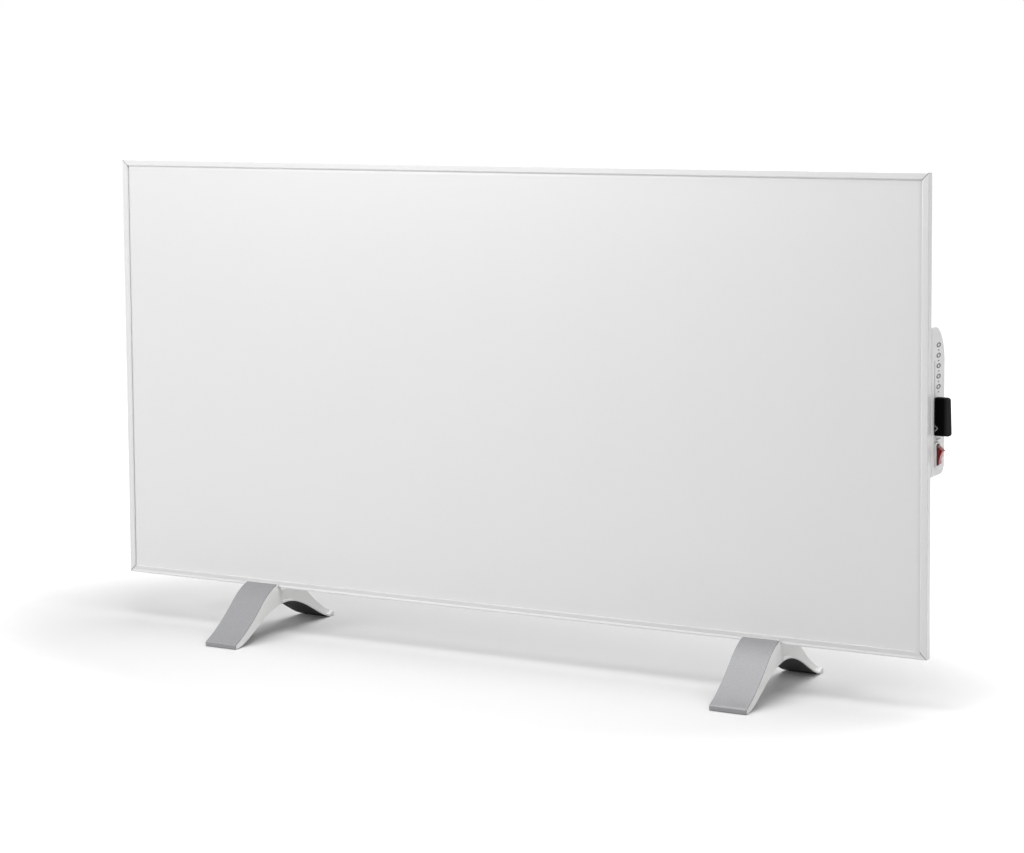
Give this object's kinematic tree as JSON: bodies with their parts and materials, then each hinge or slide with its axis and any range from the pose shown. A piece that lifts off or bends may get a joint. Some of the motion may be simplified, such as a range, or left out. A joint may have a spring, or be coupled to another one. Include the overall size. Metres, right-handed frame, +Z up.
{
  "type": "infrared panel heater",
  "caption": "Free-standing flat infrared heater: white panel in a mitred frame on two arched feet, with a sliding thermostat and a rocker switch in a side control box.",
  "frame": {"origin": "middle of the whole outline at floor level, under the panel and half way between the feet's front and rear toes", "axes": "+X to the right along the panel as seen from the front, +Y backwards, away from the radiating face, +Z up"},
  "size_m": [1.2204, 0.244, 0.656],
  "materials": {
    "painted_white": "satin",
    "white_plastic": "satin",
    "satin_grey": "satin",
    "black_plastic": "satin",
    "red_plastic": "gloss",
    "zinc_steel": "zinc plated",
    "brass": "plain",
    "black_rubber": "matt",
    "heating_film": "matt",
    "mineral_wool": "fibrous",
    "circuit_board": "solder mask",
    "ivory_plastic": "matt",
    "brown_insulation": "matt",
    "blue_insulation": "matt"
  },
  "bodies": {
    "heater": {"base_screw_1": "zinc_steel", "base_screw_2": "zinc_steel", "bracket_screw_1": "zinc_steel", "bracket_screw_2": "zinc_steel", "bracket_screw_3": "zinc_steel", "bracket_screw_4": "zinc_steel", "cable_grommet": "black_rubber", "control_housing": "white_plastic", "corner_key_bottom_left": "zinc_steel", "corner_key_bottom_right": "zinc_steel", "corner_key_top_left": "zinc_steel", "corner_key_top_right": "zinc_steel", "element_lead_live": "brown_insulation", "element_lead_neutral": "blue_insulation", "foot_left_body": "white_plastic", "foot_left_pad_front": "black_rubber", "foot_left_pad_rear": "black_rubber", "foot_left_saddle": "black_rubber", "foot_left_trim": "satin_grey", "foot_right_body": "white_plastic", "foot_right_pad_front": "black_rubber", "foot_right_pad_rear": "black_rubber", "foot_right_saddle": "black_rubber", "foot_right_trim": "satin_grey", "foot_screw_1": "zinc_steel", "foot_screw_2": "zinc_steel", "foot_screw_3": "zinc_steel", "foot_screw_4": "zinc_steel", "frame_bottom": "painted_white", "frame_left": "painted_white", "frame_right": "painted_white", "frame_top": "painted_white", "front_panel": "painted_white", "heating_element": "heating_film", "housing_base": "white_plastic", "housing_screw_1": "zinc_steel", "housing_screw_2": "zinc_steel", "housing_screw_3": "zinc_steel", "housing_screw_4": "zinc_steel", "insulation_board": "mineral_wool", "rear_cover": "painted_white", "rocker_pin": "zinc_steel", "room_sensor": "black_plastic", "slide_potentiometer": "zinc_steel", "switch_body": "white_plastic", "switch_terminal_high_back": "brass", "switch_terminal_high_front": "brass", "switch_terminal_low_back": "brass", "switch_terminal_low_front": "brass", "terminal_block": "ivory_plastic", "thermal_cutout": "black_plastic", "thermostat_board": "circuit_board", "wall_bracket_left": "zinc_steel", "wall_bracket_right": "zinc_steel"},
    "thermostat": {"thermostat_slider": "black_plastic", "slider_lever": "zinc_steel"},
    "rocker": {"switch_rocker": "red_plastic"}
  },
  "joints": [
    {"name": "thermostat_slide", "type": "slide", "parent": "heater", "child": "thermostat", "axis": [0, 0, 1], "range_m": [0, 0.0635]},
    {"name": "switch_rock", "type": "hinge", "parent": "heater", "child": "rocker", "pos_m": [0.58655, 0.011, 0.3135], "axis": [0, 1, 0], "range_deg": [-33, 0]}
  ]
}
